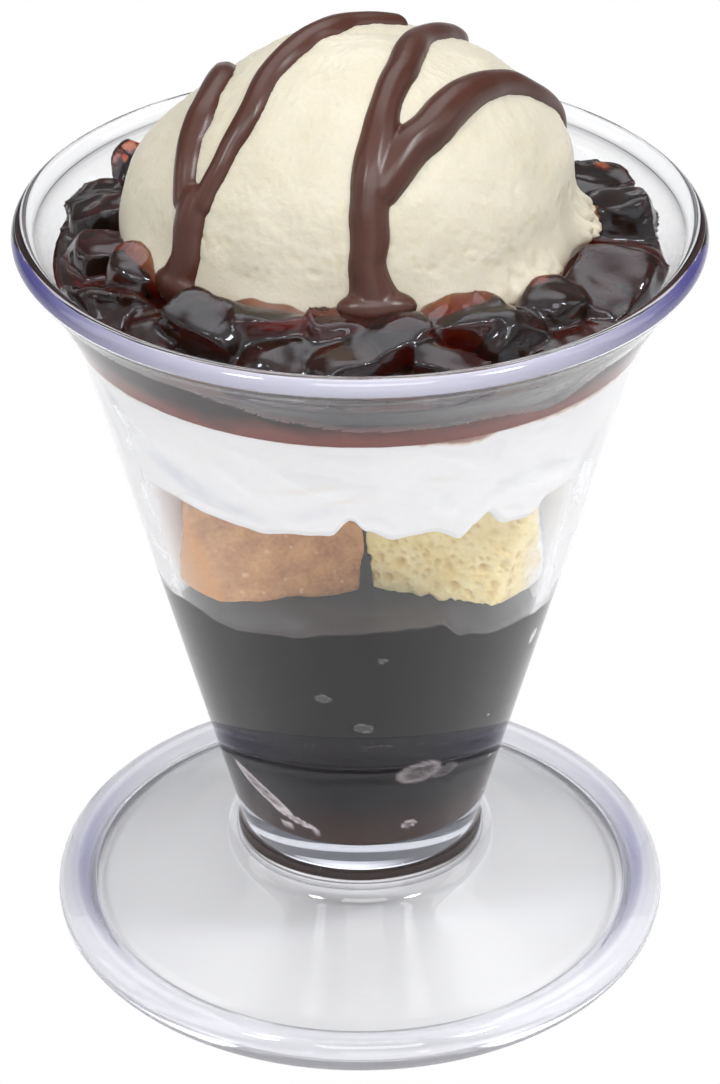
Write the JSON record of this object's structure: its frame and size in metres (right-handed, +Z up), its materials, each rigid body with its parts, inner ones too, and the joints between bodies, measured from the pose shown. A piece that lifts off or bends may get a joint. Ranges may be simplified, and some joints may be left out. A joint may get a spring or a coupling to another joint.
{
  "type": "coffee jelly parfait in a footed cup",
  "caption": "Clear footed dessert cup filled with coffee jelly, sponge cake and whipped cream, topped with jelly chunks and a drizzled ice cream scoop.",
  "frame": {"origin": "middle of the foot's underside, on the surface the cup stands on", "axes": "+Z up along the cup's axis, -Y towards the side shown to a guest"},
  "size_m": [0.084, 0.084, 0.1236],
  "materials": {
    "clear_cup": "clear moulded plastic, glossy, faintly lilac where thick",
    "coffee_jelly": "wet, glossy, near black with amber thin edges",
    "cake_crust": "matte, fine pores",
    "cake_crumb": "matte, open crumb",
    "whipped_cream": "soft satin",
    "ice_cream": "fine icy grain, glossy chocolate drizzle"
  },
  "bodies": {
    "root": {"cup": "clear_cup", "jelly_lower": "coffee_jelly", "cake_crust_front": "cake_crust", "cake_crumb_front": "cake_crumb", "cake_crumb_back": "cake_crumb", "cake_crust_back": "cake_crust", "cream": "whipped_cream", "jelly_heap": "coffee_jelly", "ice_cream": "ice_cream"}
  },
  "joints": []
}
